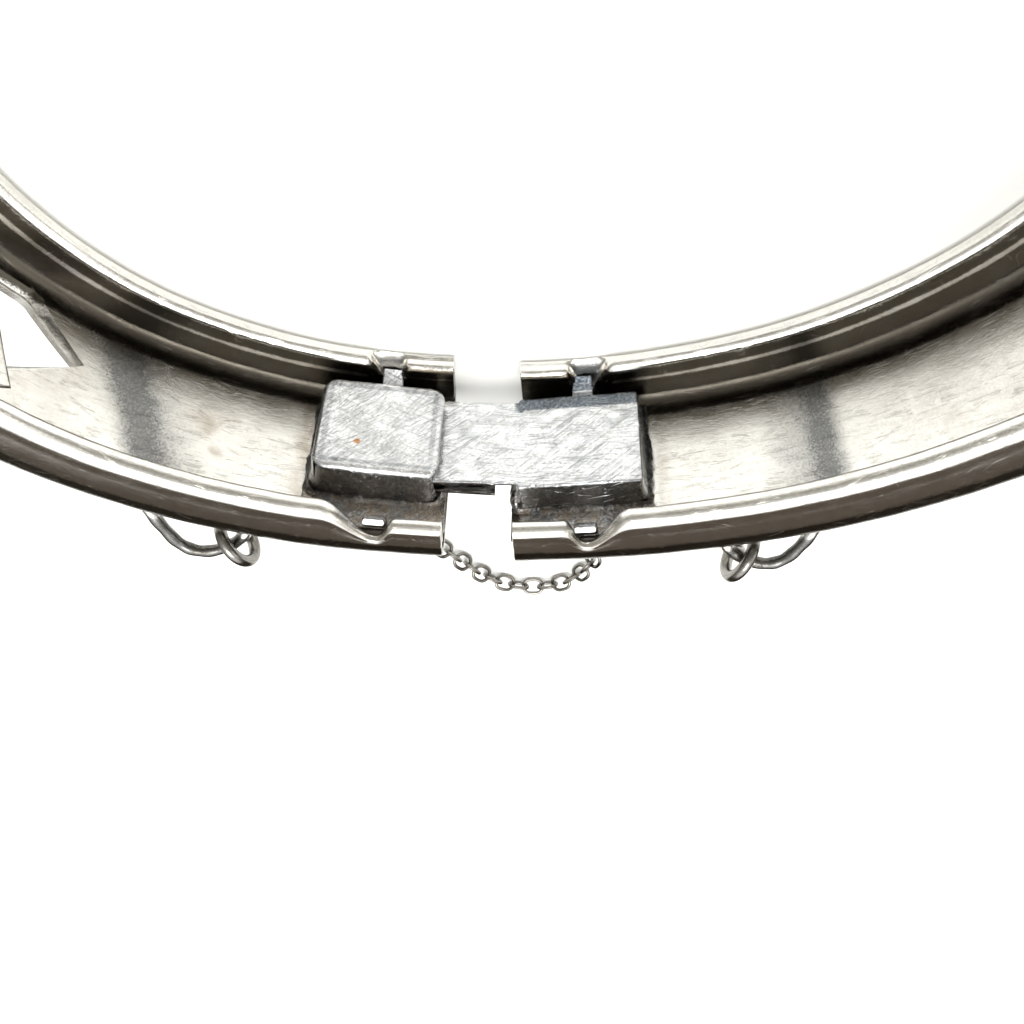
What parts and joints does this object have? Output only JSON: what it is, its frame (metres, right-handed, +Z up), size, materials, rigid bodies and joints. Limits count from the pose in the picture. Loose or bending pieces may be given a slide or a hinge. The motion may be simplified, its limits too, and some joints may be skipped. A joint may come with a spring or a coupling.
{
  "type": "hinged bangle",
  "caption": "Oval hinged bangle of hollow-rimmed sheet metal, with a box clasp, a spring tongue and a fine safety chain; it stands a little open.",
  "frame": {"origin": "the ring's centre, on the surface that the lower rim rests on", "axes": "+Z up along the ring's axis, -Y to the clasp, +Y to the hinge, -X to the pierced and ornamented half"},
  "size_m": [0.0704, 0.0808, 0.0146],
  "materials": {
    "band_left": "polished, worn",
    "band_right": "polished, worn",
    "catch": "polished, worn",
    "tongue": "polished, worn",
    "pin": "polished, worn",
    "rings": "polished, worn",
    "chain": "polished, worn"
  },
  "bodies": {
    "root": {"left_half": "band_left", "right_half": "band_right", "catch_box": "catch", "tongue_box": "tongue", "hinge_pin": "pin", "left_ring": "rings", "right_ring": "rings", "chain": "chain"}
  },
  "joints": []
}
